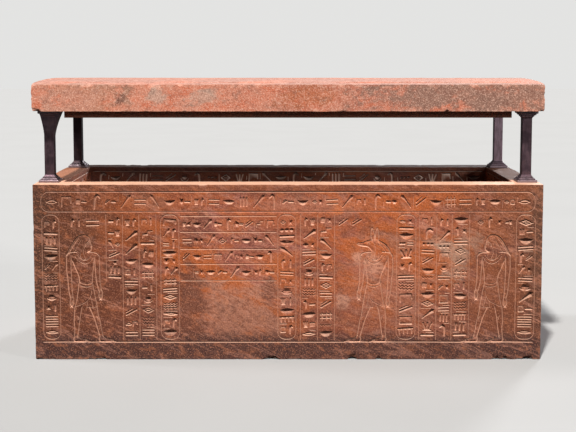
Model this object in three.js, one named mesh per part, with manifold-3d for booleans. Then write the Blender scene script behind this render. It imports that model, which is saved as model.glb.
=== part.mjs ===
// Royal stone sarcophagus of ancient Egypt: a hollow rectangular chest with a loose slab lid, which four metal
// posts hold up above the chest so that the inside can be seen.
//
// Millimetres, +Z up. +X runs along the length, -Y faces the viewer of the figured long side. The origin is the
// middle of the underside. Chest, lid and each post are separate solids.

import * as THREE from "three";
import { mergeVertices } from "three/addons/utils/BufferGeometryUtils.js";
import Module from "manifold-3d";

const wasm = await Module();
wasm.setup();

// ---- Driving dimensions -------------------------------------------------------------------------------------

const LENGTH = 2250;
const WIDTH = 870;
const CHEST_HEIGHT = 785;
const LONG_WALL = 120; // thickness of the two long walls
const END_WALL = 115; // thickness of the two end walls
const FLOOR = 130; // thickness of the chest's bottom

const LID_EDGE = 121; // height of the lid's sides
const LID_RISE = 20; // the crown of the lid's low vault above its long edges
const VAULT_STEPS = 12; // facets of the vault
const LID_MARGIN = 90; // from the lid's edges to the carving on its top
const TONGUE = 33; // the lid's underside drops by this much into the chest's mouth
const TONGUE_PLAY = 5; // gap that the tongue has in the mouth, on each side

const POST_HEIGHT = 320;
const SHAFT = 41; // side of the square shaft
const PLINTH = 88; // side of the post's foot and head plates
const POST_INSET_X = 13; // from the chest's end to the foot plate
const POST_INSET_Y = 67; // from the chest's long side to the foot plate
const HAUNCH_HEIGHT = 132; // of the flared head that only the front left post has
const HAUNCH_OUT = 22; // how far that head stands out from the shaft, away from the middle
const HAUNCH_IN = 38; // and towards the middle
const HAUNCH_SIDE = 9; // and to its front and back

const GROOVE = 3; // depth of a carved line, whose sides slope at 45 degrees
const ARC_STEPS = 5; // facets of a quarter turn
const STROKE_STEPS = 7; // facets of a figure's stroke

// Heights on a long side, from the underside.
const BASE_LINE = 79; // the figures stand on this line
const RING_FOOT = 91;
const RING_HEAD = 653;
const BAND_FOOT = 664;
const BAND_HEAD = 752;
const RING_RADIUS = 34; // corner of a ring, the oval frame round a column of signs
const RING_INSET = 2; // of a ring in its panel
const SHORT_COLUMN_FOOT = 353; // the column in front of a striding foot ends here
const ROW_LINES = [644, 573, 497, 430, 356]; // ruled lines of the block of rows

const SQUARE = 25.4; // one square of the drawing grid, on which a standing figure is 19 squares high

// Panels of the figured long side from left to right: what each holds, and its width.
const LEFT_MARGIN = 36;
const FRONT_PANELS = [
  ["ring", 80],
  ["figure", 205, { facing: 1, axis: 106 }],
  ["short_column", 73],
  ["column", 73],
  ["column", 75],
  ["gap", 18],
  ["ring", 85],
  ["rows", 433],
  ["ring", 84],
  ["gap", 18],
  ["column", 76],
  ["column", 75],
  ["figure", 273, { facing: -1, axis: 180, jackal: true }],
  ["ring", 88],
  ["gap", 14],
  ["column", 76],
  ["column", 68],
  ["column", 77],
  ["figure", 205, { facing: -1, axis: 104 }],
  ["ring", 88],
];
// The other sides are plainer: rings and columns round blank panels.
const BACK_PANELS = [
  ["ring", 84],
  ["blank", 330],
  ["column", 76],
  ["column", 76],
  ["gap", 16],
  ["ring", 84],
  ["blank", 846],
  ["ring", 84],
  ["gap", 16],
  ["column", 76],
  ["column", 76],
  ["blank", 330],
  ["ring", 84],
];
const END_PANELS = [
  ["ring", 84],
  ["column", 76],
  ["blank", 478],
  ["column", 76],
  ["ring", 84],
];

// Broken places on the arrises: how far along from the left end, and the break's half sizes.
const FOOT_CHIPS = [
  [292, 26, 12, 9],
  [1050, 34, 16, 12],
  [1412, 20, 24, 22],
  [1530, 16, 10, 9],
  [2050, 18, 16, 14],
  [2195, 22, 12, 10],
];
const LID_CHIPS = [
  [240, 24, 12, 13],
  [655, 14, 8, 7],
  [2075, 18, 9, 8],
];

// ---- Solids ---------------------------------------------------------------------------------------------------

function solid(geometry) {
  const bare = (geometry.index ? geometry.toNonIndexed() : geometry.clone());
  bare.deleteAttribute("normal");
  bare.deleteAttribute("uv");
  const merged = mergeVertices(bare, 1e-3);
  return new wasm.Manifold(
    new wasm.Mesh({
      numProp: 3,
      vertProperties: merged.attributes.position.array,
      triVerts: new Uint32Array(merged.index.array),
    }),
  );
}

function geometryOf(made) {
  const mesh = made.getMesh();
  const geometry = new THREE.BufferGeometry();
  geometry.setAttribute("position", new THREE.BufferAttribute(mesh.vertProperties, 3));
  geometry.setIndex(new THREE.BufferAttribute(mesh.triVerts, 1));
  const faceted = geometry.toNonIndexed();
  faceted.computeVertexNormals();
  return faceted;
}

// A block from its lowest corner and its sizes.
function block(x, y, z, sizeX, sizeY, sizeZ) {
  const geometry = new THREE.BoxGeometry(sizeX, sizeY, sizeZ);
  geometry.translate(x + sizeX / 2, y + sizeY / 2, z + sizeZ / 2);
  return solid(geometry);
}

function joined(solids) {
  return solids.reduce((sum, next) => sum.add(next));
}

// ---- Carved lines ---------------------------------------------------------------------------------------------
// Lines are drawn on a side's own plane: u to the right, v up, and w out of the stone. A line is cut by a bar
// of square section that stands on its edge in the plane.

function bar(curve, steps) {
  const section = new THREE.Shape();
  section.moveTo(GROOVE, 0);
  section.lineTo(0, GROOVE);
  section.lineTo(-GROOVE, 0);
  section.lineTo(0, -GROOVE);
  return new THREE.ExtrudeGeometry(section, { steps, bevelEnabled: false, extrudePath: curve });
}

function line(u0, v0, u1, v1) {
  return bar(new THREE.LineCurve3(new THREE.Vector3(u0, v0, 0), new THREE.Vector3(u1, v1, 0)), 1);
}

function stroke(points) {
  const path = points.map(([u, v]) => new THREE.Vector3(u, v, 0));
  return bar(new THREE.CatmullRomCurve3(path), points.length < 3 ? 1 : STROKE_STEPS);
}

// A quarter circle about a corner's centre, from the angle given in quarter turns.
function corner(u, v, radius, quarter) {
  const steps = [...Array(ARC_STEPS + 1).keys()];
  const points = steps.map((k) => {
    const angle = ((quarter + k / ARC_STEPS) * Math.PI) / 2;
    return new THREE.Vector3(u + radius * Math.cos(angle), v + radius * Math.sin(angle), 0);
  });
  return bar(new THREE.CatmullRomCurve3(points), ARC_STEPS);
}

// An oval ring: a rectangle with round corners.
function ring(left, right, foot, head) {
  const r = RING_RADIUS;
  return [
    line(left + r, foot, right - r, foot),
    line(left + r, head, right - r, head),
    line(left, foot + r, left, head - r),
    line(right, foot + r, right, head - r),
    corner(right - r, head - r, r, 0),
    corner(left + r, head - r, r, 1),
    corner(left + r, foot + r, r, 2),
    corner(right - r, foot + r, r, 3),
  ];
}

// ---- The standing figure --------------------------------------------------------------------------------------
// Drawn on the sculptor's grid: x in squares forward of the neck, y in squares above the sole, 18 at the hairline.

// Both sides of a limb, from points along its middle with the half width there.
function limb(middle) {
  const back = middle.map(([x, y, half]) => [x - half, y]);
  const front = middle.map(([x, y, half]) => [x + half, y]);
  return [back, front];
}

function foot(heel) {
  return [
    [[heel, 0.8], [heel - 0.1, 0.3], [heel + 0.1, 0.02], [heel + 1.2, 0.02], [heel + 2.5, 0.02]],
    [[heel + 2.5, 0.02], [heel + 2.1, 0.38], [heel + 1.2, 0.6], [heel + 0.65, 0.95]],
  ];
}

function humanHead() {
  return [
    [[-3.05, 15.45], [-1.9, 17.3], [-0.87, 18.7], [0.1, 19.0], [0.9, 18.6], [1.25, 17.7]], // wig
    [[1.25, 17.7], [1.6, 16.95], [1.4, 16.5], [1.3, 16.1], [0.75, 15.95]], // a plain, calm profile
    [[0.2, 17.4], [-0.1, 16.2], [0.35, 14.7]], // lappet of the wig on the chest
  ];
}

function jackalHead() {
  return [
    [[-2.85, 15.4], [-2.3, 16.6], [-1.6, 17.4], [-0.5, 18.0]], // back of the wig
    [[-0.5, 18.0], [-0.45, 19.3], [-0.3, 20.2], [0.0, 19.2], [0.1, 18.2]], // far ear
    [[0.1, 18.2], [0.35, 19.4], [0.6, 20.2], [0.75, 19.0], [0.6, 18.1]], // near ear
    [[0.6, 18.1], [1.5, 17.8], [3.0, 17.4]], // brow and muzzle
    [[3.0, 17.1], [1.9, 16.75], [0.7, 16.3]], // jaw
    [[0.2, 17.2], [-0.1, 16.2], [0.35, 14.7]],
  ];
}

function figureStrokes(jackal) {
  return [
    ...(jackal ? jackalHead() : humanHead()),
    [[-3.05, 15.3], [-2.1, 15.85], [-0.6, 15.95]],
    [[0.75, 15.95], [1.7, 15.85], [2.67, 15.15]],
    ...limb([[-2.65, 14.9, 0.36], [-2.6, 11.0, 0.36], [-2.45, 8.5, 0.27], [-2.15, 6.9, 0.22]]),
    ...limb([[2.25, 14.9, 0.4], [2.35, 12.0, 0.35], [2.5, 9.8, 0.27], [2.95, 8.1, 0.24]]),
    [[-2.0, 14.3], [-1.2, 12.4], [-0.75, 10.6]], // back
    [[1.65, 14.3], [1.5, 12.0], [1.3, 10.6]], // chest and belly
    [[-0.95, 10.55], [1.4, 10.35]], // belt
    [[-1.0, 9.95], [1.5, 9.75]],
    [[-0.95, 10.5], [-1.2, 8.5], [-1.7, 6.2]], // kilt
    [[1.4, 10.3], [1.75, 8.5], [2.1, 6.3]],
    [[-1.7, 6.2], [-0.5, 6.75], [0.5, 7.35], [1.2, 8.5]],
    [[0.4, 6.25], [2.1, 6.3]],
    ...limb([[-1.1, 6.2, 0.62], [-1.37, 3.8, 0.48], [-1.45, 2.0, 0.3], [-1.62, 0.85, 0.3]]),
    ...limb([[1.8, 6.1, 0.4], [2.18, 3.8, 0.4], [2.55, 2.0, 0.24], [2.9, 0.85, 0.32]]),
    ...foot(-1.95),
    ...foot(2.55),
  ];
}

function figure(axis, facing, jackal) {
  const place = ([x, y]) => [axis + facing * x * SQUARE, BASE_LINE + y * SQUARE];
  return figureStrokes(jackal).map((points) => stroke(points.map(place)));
}

// ---- Carved sides ---------------------------------------------------------------------------------------------

const isColumn = (kind) => kind.endsWith("column");

// The ruled frame of one side: the band of signs along the top, the base line and the panels between.
function carvedSide(length, margin, panels) {
  const cuts = [line(margin, BASE_LINE, length - margin, BASE_LINE)];
  cuts.push(...ring(margin, length - margin, BAND_FOOT, BAND_HEAD));
  let left = margin;
  let before = "";
  for (const [kind, width, details] of panels) {
    const right = left + width;
    if (kind === "ring") cuts.push(...ring(left + RING_INSET, right - RING_INSET, RING_FOOT, RING_HEAD));
    if (kind === "figure") cuts.push(...figure(left + details.axis, details.facing, details.jackal));
    if (isColumn(kind) || isColumn(before)) {
      const low = kind === "short_column" ? SHORT_COLUMN_FOOT : RING_FOOT;
      cuts.push(line(left, low, left, RING_HEAD));
    }
    if (kind === "rows") cuts.push(...ROW_LINES.map((v) => line(left + 4, v, right - 4, v)));
    left = right;
    before = kind;
  }
  return cuts;
}

// Turns a side's plane to where it stands on the chest. The bars lie in the plane, so each cuts half its depth.
function placed(cuts, origin, quarterTurns) {
  const upright = new THREE.Matrix4().makeRotationX(Math.PI / 2);
  const turned = new THREE.Matrix4().makeRotationZ((quarterTurns * Math.PI) / 2);
  const moved = new THREE.Matrix4().makeTranslation(...origin);
  const matrix = moved.multiply(turned).multiply(upright);
  return cuts.map((cut) => solid(cut.applyMatrix4(matrix)));
}

function panelsLength(panels) {
  return panels.reduce((sum, [, width]) => sum + width, 0);
}

// A break on an arris: a small rough lump that is cut away.
function chip(x, y, z, [sizeX, sizeY, sizeZ], turn) {
  const lump = new THREE.IcosahedronGeometry(1, 0);
  lump.rotateX(turn);
  lump.rotateY(turn * 1.7);
  lump.scale(sizeX, sizeY, sizeZ);
  lump.translate(x, y, z);
  return solid(lump);
}

function chest() {
  const halfX = LENGTH / 2;
  const halfY = WIDTH / 2;
  const body = block(-halfX, -halfY, 0, LENGTH, WIDTH, CHEST_HEIGHT);
  const hollow = block(
    -halfX + END_WALL,
    -halfY + LONG_WALL,
    FLOOR,
    LENGTH - 2 * END_WALL,
    WIDTH - 2 * LONG_WALL,
    CHEST_HEIGHT,
  );
  const backMargin = (LENGTH - panelsLength(BACK_PANELS)) / 2;
  const endMargin = (WIDTH - panelsLength(END_PANELS)) / 2;
  const carving = [
    ...placed(carvedSide(LENGTH, LEFT_MARGIN, FRONT_PANELS), [-halfX, -halfY, 0], 0),
    ...placed(carvedSide(WIDTH, endMargin, END_PANELS), [halfX, -halfY, 0], 1),
    ...placed(carvedSide(LENGTH, backMargin, BACK_PANELS), [halfX, halfY, 0], 2),
    ...placed(carvedSide(WIDTH, endMargin, END_PANELS), [-halfX, halfY, 0], 3),
  ];
  const chips = FOOT_CHIPS.map(([u, ...sizes], k) => chip(u - halfX, -halfY, 0, sizes, k + 0.5));
  return body.subtract(hollow).subtract(joined(carving)).subtract(joined(chips));
}

// ---- Lid --------------------------------------------------------------------------------------------------------

// How far the lid's top stands above its long edges, at y.
function vault(y) {
  return LID_RISE * (1 - (2 * y / WIDTH) ** 2);
}

// The slab: its sides are upright, and its top is a low vault along the whole length.
function slab(underside) {
  const section = new THREE.Shape();
  section.moveTo(-WIDTH / 2, underside);
  section.lineTo(WIDTH / 2, underside);
  for (let k = 0; k <= VAULT_STEPS; k++) {
    const y = WIDTH * (0.5 - k / VAULT_STEPS);
    section.lineTo(y, underside + LID_EDGE + vault(y));
  }
  section.closePath();
  const extruded = new THREE.ExtrudeGeometry(section, { depth: LENGTH, bevelEnabled: false });
  extruded.translate(0, 0, -LENGTH / 2).rotateX(Math.PI / 2).rotateZ(Math.PI / 2);
  return solid(extruded);
}

// On the lid's top, a band for signs lies along the crown between two ruled lines.
function lidCarving(arris) {
  const endX = LENGTH / 2 - LID_MARGIN;
  const sideY = WIDTH / 2 - LID_MARGIN;
  const band = (BAND_HEAD - BAND_FOOT) / 2;
  const cuts = ring(-endX, endX, -band, band).map((cut) => cut.translate(0, 0, arris + LID_RISE));
  for (const y of [-sideY, sideY]) {
    cuts.push(line(-endX, y, endX, y).translate(0, 0, arris + vault(y)));
  }
  return joined(cuts.map(solid));
}

function lid(underside) {
  const arris = underside + LID_EDGE;
  const tongueX = LENGTH - 2 * (END_WALL + TONGUE_PLAY);
  const tongueY = WIDTH - 2 * (LONG_WALL + TONGUE_PLAY);
  const tongue = block(-tongueX / 2, -tongueY / 2, underside - TONGUE, tongueX, tongueY, TONGUE + 1);
  const chips = LID_CHIPS.map(([u, ...sizes], k) => chip(u - LENGTH / 2, -WIDTH / 2, arris, sizes, k + 1));
  return slab(underside).add(tongue).subtract(lidCarving(arris)).subtract(joined(chips));
}

// ---- Posts ------------------------------------------------------------------------------------------------------

// Half widths and heights of the stepped foot, from the plinth up to the shaft.
const FOOT_PROFILE = [
  [PLINTH / 2 - 1.5, 0],
  [PLINTH / 2, 1.5],
  [PLINTH / 2, 10],
  [PLINTH / 2 - 3, 12],
  [34, 13],
  [32, 17],
  [29, 19],
  [29, 25],
  [27, 27],
  [SHAFT / 2 + 2, 29],
  [SHAFT / 2, 34],
];

// A turning of four facets is a square post, so its radii are the half diagonals.
function post() {
  const ring4 = ([half, z]) => new THREE.Vector2(half * Math.SQRT2, z);
  const footHalf = FOOT_PROFILE.map(ring4);
  const headHalf = FOOT_PROFILE.map(([half, z]) => ring4([half, POST_HEIGHT - z])).reverse();
  const profile = [new THREE.Vector2(0, 0), ...footHalf, ...headHalf, new THREE.Vector2(0, POST_HEIGHT)];
  const turned = new THREE.LatheGeometry(profile, 4, Math.PI / 4);
  turned.rotateX(Math.PI / 2);
  return solid(turned);
}

// The flared head: all four flanks curve out from the shaft up to the lid. It is what the outline seen from the
// front and the outline seen from the side have in common, so each is extruded farther than the other is wide.
function haunch() {
  const start = POST_HEIGHT - HAUNCH_HEIGHT;
  const half = SHAFT / 2 - 1;
  const bend = POST_HEIGHT - HAUNCH_HEIGHT * 0.45;
  const flared = (left, right, depth) => {
    const outline = new THREE.Shape();
    outline.moveTo(-half, start);
    outline.quadraticCurveTo(-half - left * 0.4, bend, -half - left, POST_HEIGHT);
    outline.lineTo(half + right, POST_HEIGHT);
    outline.quadraticCurveTo(half + right * 0.3, bend, half, start);
    outline.closePath();
    const geometry = new THREE.ExtrudeGeometry(outline, { depth, bevelEnabled: false, curveSegments: 8 });
    return geometry.translate(0, 0, -depth / 2).rotateX(Math.PI / 2);
  };
  const fromFront = flared(HAUNCH_OUT, HAUNCH_IN, SHAFT + 3 * HAUNCH_SIDE);
  const fromSide = flared(HAUNCH_SIDE, HAUNCH_SIDE, SHAFT + 3 * HAUNCH_IN).rotateZ(Math.PI / 2);
  return solid(fromFront).intersect(solid(fromSide));
}

// ---- The whole ---------------------------------------------------------------------------------------------------

const STONE = new THREE.MeshStandardMaterial({ color: 0x9c5b3c, roughness: 0.85, metalness: 0 });
const LID_STONE = new THREE.MeshStandardMaterial({ color: 0xbd7658, roughness: 0.9, metalness: 0 });
const METAL = new THREE.MeshStandardMaterial({ color: 0x4a3f4a, roughness: 0.5, metalness: 0.6 });

function named(name, made, material, position = [0, 0, 0]) {
  const mesh = new THREE.Mesh(geometryOf(made), material);
  mesh.name = name;
  mesh.position.set(...position);
  return mesh;
}

function posts() {
  const x = LENGTH / 2 - POST_INSET_X - PLINTH / 2;
  const y = WIDTH / 2 - POST_INSET_Y - PLINTH / 2;
  const plain = post();
  const flared = plain.add(haunch());
  return [
    named("post_front_left", flared, METAL, [-x, -y, CHEST_HEIGHT]),
    named("post_front_right", plain, METAL, [x, -y, CHEST_HEIGHT]),
    named("post_back_left", plain, METAL, [-x, y, CHEST_HEIGHT]),
    named("post_back_right", plain, METAL, [x, y, CHEST_HEIGHT]),
  ];
}

const sarcophagus = new THREE.Group();
sarcophagus.add(named("chest", chest(), STONE));
sarcophagus.add(named("lid", lid(CHEST_HEIGHT + POST_HEIGHT), LID_STONE));
sarcophagus.add(...posts());

export default sarcophagus;
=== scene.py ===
"""Stone sarcophagus: the carved chest, its slab lid and the four metal posts that hold the lid up.

The stonework is worked out in millimetres and turned to metres when its meshes are made. Each side of the
stone is a flat patch. Its carving is a set of strokes, and the patch is triangulated so that every stroke has
its own edges and its own bottom line. Then the stone is worn: arrises rounded, edges chipped, faces uneven.
"""

import itertools
import math
import random

import bmesh
import bpy
import numpy as np
from mathutils import Matrix, Vector
from mathutils.geometry import delaunay_2d_cdt


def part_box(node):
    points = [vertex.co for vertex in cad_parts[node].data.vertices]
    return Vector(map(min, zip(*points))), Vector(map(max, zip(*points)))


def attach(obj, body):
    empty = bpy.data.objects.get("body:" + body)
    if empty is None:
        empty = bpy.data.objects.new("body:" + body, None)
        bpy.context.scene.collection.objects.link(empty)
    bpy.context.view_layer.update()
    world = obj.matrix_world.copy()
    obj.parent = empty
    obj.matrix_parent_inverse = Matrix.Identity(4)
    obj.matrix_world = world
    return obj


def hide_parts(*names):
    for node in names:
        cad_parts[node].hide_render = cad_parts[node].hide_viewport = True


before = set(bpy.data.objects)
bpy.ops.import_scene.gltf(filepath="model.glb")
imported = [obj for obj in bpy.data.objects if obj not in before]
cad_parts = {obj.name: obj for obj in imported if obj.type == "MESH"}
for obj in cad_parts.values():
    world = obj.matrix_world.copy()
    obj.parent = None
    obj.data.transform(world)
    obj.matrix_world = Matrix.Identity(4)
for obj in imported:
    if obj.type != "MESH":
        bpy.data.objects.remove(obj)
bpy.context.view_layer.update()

MM = 0.001
X, Y, Z = np.eye(3)


def box_mm(node):
    """The lowest and highest corner of a CAD node, in millimetres."""
    lo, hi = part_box(node)
    return np.array(lo) / MM, np.array(hi) / MM


CHEST_LO, CHEST_HI = box_mm("chest")
LID_LO, LID_HI = box_mm("lid")
LENGTH, WIDTH, CHEST_HEIGHT = CHEST_HI - CHEST_LO
PLINTH = 88  # the width of a post's foot
POST_NODES = ("post_front_left", "post_front_right", "post_back_left", "post_back_right")


def post_place(node):
    """The middle of a post's foot, taken from its outer side: a haunch widens the post's box inwards only."""
    lo, hi = box_mm(node)
    x = lo[0] + PLINTH / 2 if lo[0] < 0 else hi[0] - PLINTH / 2
    return x, (lo[1] + hi[1]) / 2


POST_PLACES = [post_place(node) for node in POST_NODES]

# ---- Sizes that the CAD model has too

LONG_WALL = 120
END_WALL = 115
FLOOR = 130
LID_EDGE = 121
LID_RISE = 20  # the crown of the lid's low vault above its long edges
LID_MARGIN = 90  # from the lid's sides to the ruled lines on its top
TONGUE = 33
TONGUE_PLAY = 5

BASE_LINE = 79
RING_FOOT = 91
RING_HEAD = 653
BAND_FOOT = 664
BAND_HEAD = 752
RING_RADIUS = 34
RING_INSET = 2
SHORT_COLUMN_FOOT = 353
ROW_LINES = [644, 573, 497, 430, 356]
SQUARE = 25.4

# ---- Carving tools

LINE_HALF = 2.6  # half width of a ruled line
LINE_DEPTH = 2.8
LINE_PALE = 0.6  # how far a line's bottom turns to a pale colour
SIGN_HALF = 3.9  # half width of a thin stroke in a sign
SIGN_STEEP = 1.3  # depth of a sign's stroke over its half width
SIGN_PALE = 0.22  # the same for a sign's strokes that lie flat
UPRIGHT_PALE_AND_LIGHT = 0.8  # and for those that stand upright, paler still as painted light on their walls
MOST_DEPTH = 12.5  # of a sign's stroke
OUTLINE_DEPTH = 4.8  # of a figure's outline
OUTLINE_HALF = 3.0
FIGURE_PALE = 0.7
SHALLOW = {"thin": (2.2, 2.2, 2.2, 0.5), "soft": (2.4, 3.2, 3.2, 0.8)}  # depth, two half widths, paleness
COLUMN_FILL = 0.78  # how much of its place in a column a sign takes up
PAIR_FILL = 0.86  # the same for one of two signs side by side
FINE_SHARE = 0.6  # how many signs have a fine line beside them
BODY_SLOPE = 12  # width over which a figure's body rises again inside its outline
BRINK = 3.4  # the cut itself is this wide on that side
SAMPLE = 9  # spacing of points along a curved stroke
CLEAR = 2.2  # smallest distance of a grid point to a stroke's edge

# ---- What is written: rows of plain strokes, which aren't letters
# A sign is drawn in a unit square. Each stroke of it is a list of points with a weight, its width over a thin
# stroke's. The height of a sign is its share of a column's pitch.


def arc(cx, cy, radius, start, end, weights):
    """Points on a circle's arc, with angles in degrees, one point for each weight."""
    angles = np.radians(np.linspace(start, end, len(weights)))
    return [(cx + radius * math.cos(a), cy + radius * math.sin(a), w) for a, w in zip(angles, weights)]


def bar(x0, y0, x1, y1, weight=1.0):
    return [(x0, y0, weight), (x1, y1, weight)]


def closed(points):
    return points + points[:1]


SIGNS = {
    "bar": (0.45, [bar(-0.5, 0, 0.5, 0, 1.5)]),
    "bars": (0.6, [bar(-0.5, 0.25, 0.5, 0.25), bar(-0.5, -0.25, 0.5, -0.25)]),
    "bars3": (0.8, [bar(-0.5, y, 0.5, y, 0.9) for y in (-0.33, 0, 0.33)]),
    "bars5": (1.3, [bar(-0.48, y, 0.48, y, 0.85) for y in (-0.42, -0.21, 0, 0.21, 0.42)]),
    "post": (1.0, [bar(0, -0.45, 0, 0.45, 1.7)]),
    "posts": (0.8, [bar(x, -0.4, x, 0.4, 1.5) for x in (-0.3, 0, 0.3)]),
    "bowl": (0.7, [
        [(-0.5, 0.12, 0.5), (-0.27, -0.03, 2.5), (0, -0.1, 3.6), (0.27, -0.03, 2.5), (0.5, 0.12, 0.5)],
    ]),
    "dish": (0.6, [[(-0.5, 0.1, 0.6), (-0.2, 0.0, 3.0), (0.2, 0.0, 3.0), (0.5, 0.1, 0.6)]]),
    "hill": (0.6, [arc(0, -0.25, 0.5, 15, 165, [0.9] * 7), bar(-0.5, -0.25, 0.5, -0.25, 1.2)]),
    "lozenge": (0.8, [
        closed([(-0.44, 0, 1.1), (0, 0.32, 1.1), (0.44, 0, 1.1), (0, -0.32, 1.1)]),
        bar(-0.14, 0, 0.14, 0),
    ]),
    "disc": (0.8, [[(-0.2, 0.02, 1.5), (0, 0, 3.8), (0.2, 0.02, 1.5)], arc(0, 0, 0.36, 195, 345, [0.9] * 7)]),
    "dot": (0.5, [[(-0.1, 0, 1.2), (0.02, 0, 2.6), (0.12, 0, 1.2)]]),
    "dots": (0.6, [bar(x - 0.05, 0, x + 0.05, 0.05, 2.0) for x in (-0.33, 0, 0.33)]),
    "wedge": (1.0, [[(-0.4, -0.42, 0.6), (0.05, 0.05, 1.6), (0.42, 0.42, 3.0)]]),
    "wedge_back": (1.0, [[(0.4, -0.42, 0.6), (0, 0.05, 1.6), (-0.38, 0.42, 2.8)]]),
    "slant": (0.9, [bar(-0.42, -0.3, 0.42, 0.3, 1.3), bar(-0.42, -0.02, 0.1, 0.4, 0.9)]),
    "hook": (1.1, [[(-0.1, -0.48, 1.4), (-0.08, 0.2, 2.1), (0.1, 0.44, 2.2), (0.34, 0.28, 1.2)]]),
    "hook_back": (1.1, [[(0.1, -0.48, 1.4), (0.08, 0.2, 2.1), (-0.1, 0.44, 2.2), (-0.34, 0.28, 1.2)]]),
    "zigzag": (0.5, [[(-0.5 + k / 8, 0.16 * (-1) ** k, 0.95) for k in range(9)]]),
    "frame": (0.9, [closed([(-0.4, -0.4, 1), (0.4, -0.4, 1), (0.4, 0.4, 1), (-0.4, 0.4, 1)])]),
    "gate": (0.9, [[(-0.4, -0.4, 1.2), (-0.4, 0.4, 1.2), (0.4, 0.4, 1.2), (0.4, -0.1, 1.2)]]),
    "lattice": (0.9, [
        *(bar(x, -0.4, x, 0.4) for x in (-0.3, 0.05, 0.35)),
        *(bar(-0.45, y, 0.45, y) for y in (-0.2, 0.2)),
    ]),
    "comb": (0.8, [
        bar(-0.48, 0.28, 0.48, 0.28, 1.3),
        *(bar(x, 0.24, x, -0.35) for x in (-0.4, -0.13, 0.13, 0.4)),
    ]),
    "leaf": (0.6, [
        arc(0, -0.42, 0.6, 40, 140, [0.9, 1.1, 1.3, 1.1, 0.9]),
        arc(0, 0.42, 0.6, 220, 320, [0.9] * 5),
    ]),
    "step": (0.9, [[(-0.42, -0.35, 1), (-0.42, 0, 1.2), (0, 0, 1.4), (0, 0.35, 1.2), (0.42, 0.35, 1)]]),
    "sprout": (1.0, [
        bar(-0.32, -0.4, 0.32, -0.4),
        *(bar(x * 0.4, -0.34, x, 0.36, 1.4) for x in (-0.34, 0, 0.34)),
    ]),
    "waves": (0.9, [
        [(-0.5 + k / 8, y + 0.1 * (-1) ** k, 0.9) for k in range(9)] for y in (-0.28, 0.02, 0.32)
    ]),
    "none": (0.6, []),
}
STRAIGHT = {"lozenge", "zigzag", "waves", "frame", "gate", "step"}  # these keep their sharp corners

# ---- What each side shows
# A panel is its kind, its width, and what stands in it. Signs joined by + stand side by side.

LEFT_MARGIN = 36
FRONT_PANELS = [
    ("ring", 80, "gate+hook bar posts bars bowl slant+wedge waves comb disc dot+post bars5 leaf"),
    ("figure", 205, (1, 106, False)),
    ("short_column", 73, "dots+hook bar+sprout wedge_back+lozenge slant dot posts bar"),
    ("column", 73, "sprout+hook wedge wedge bowl frame+post bars bowl posts slant hill+gate bars"),
    ("column", 75, "gate+post step bar hook+posts dish lattice bar+post disc lozenge waves bars3"),
    ("gap", 18, ""),
    ("ring", 85, (
        "gate wedge+hook bars+post bowl disc+dot hook+wedge lattice bars lozenge waves leaf gate+hook bowl"
    )),
    ("rows", 433, (
        "sprout+dot bowl wedge posts+bar hook disc+bars slant step gate",
        "bars bowl+dot wedge lozenge hook+bar dish disc+dots wedge_back",
        "slant bowl bars comb wedge gate+dot posts+bar dish hook_back",
        "none bars+dot dish slant+bar wedge bowl dot+hook disc+bar",
    )),
    ("ring", 84, (
        "lozenge+dot dots bar bowl wedge_back hook+post bars gate+dot disc sprout+post bowl comb frame+hook"
    )),
    ("gap", 18, ""),
    ("column", 76, (
        "hook+sprout wedge bowl+dot bars slant disc posts waves hook_back+bar dish sprout+comb leaf"
    )),
    ("column", 75, "posts+dot step wedge_back bowl hook+gate bar lozenge bars slant lattice zigzag bowl"),
    ("figure", 273, (-1, 180, True)),
    ("ring", 88, "leaf+dot bar bowl dots+bars sprout disc+hook bars waves gate slant frame comb"),
    ("gap", 14, ""),
    ("column", 76, "gate+post hook dots bars slant bowl zigzag posts+dot bowl lozenge wedge sprout bar"),
    ("column", 68, "hook+post wedge dots gate disc bars slant+dot frame bars posts hook_back"),
    ("column", 77, "bowl hook_back+dot bars lozenge slant lattice gate+post dish waves comb posts bar"),
    ("figure", 205, (-1, 104, False)),
    ("ring", 88, "lozenge posts+bar bowl bars hook+slant wedge+dot bars disc wedge frame+bar bars5 leaf"),
]
FRONT_BAND = (
    "leaf gate posts+bar hook slant+dots wedge bars wedge_back bowl disc+bar sprout+hook bars dish posts "
    "wedge hook_back slant+bar bowl lozenge+dot bars wedge gate+post hook dots+dish wedge_back slant bowl "
    "lattice bars hook+sprout dish lozenge+frame leaf"
)
RING_WORDS = "bars bowl hook+slant disc bars posts wedge lozenge zigzag bars3"
COLUMN_WORDS = "sprout bowl wedge bars hook+dot lozenge posts slant dish bars"
OTHER_COLUMN_WORDS = "hook bars disc wedge_back bowl gate posts zigzag slant bar"
BACK_PANELS = [
    ("ring", 84, RING_WORDS),
    ("blank", 330, ""),
    ("column", 76, COLUMN_WORDS),
    ("column", 76, OTHER_COLUMN_WORDS),
    ("gap", 16, ""),
    ("ring", 84, "leaf bars hook+wedge bowl posts disc slant bars3 lozenge bars"),
    ("blank", 846, ""),
    ("ring", 84, "bars hook_back bowl wedge lozenge posts+bar slant disc bars leaf"),
    ("gap", 16, ""),
    ("column", 76, "wedge bowl bars hook+post slant disc gate zigzag dish bar"),
    ("column", 76, "posts hook bars lozenge wedge bowl slant sprout bars disc"),
    ("blank", 330, ""),
    ("ring", 84, "bars3 bowl slant+hook lozenge bars wedge posts disc zigzag bars"),
]
BACK_BAND = (
    "leaf bars hook wedge bowl posts disc slant bars lozenge hook_back dish wedge_back bars sprout bowl "
    "zigzag gate posts wedge disc bars hook slant bowl lozenge leaf"
)
END_PANELS = [
    ("ring", 84, RING_WORDS),
    ("column", 76, COLUMN_WORDS),
    ("blank", 478, ""),
    ("column", 76, OTHER_COLUMN_WORDS),
    ("ring", 84, "bars3 bowl slant+hook lozenge bars wedge posts disc leaf bars"),
]
END_BAND = "leaf bars hook wedge bowl posts disc slant bars lozenge dish"
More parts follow.
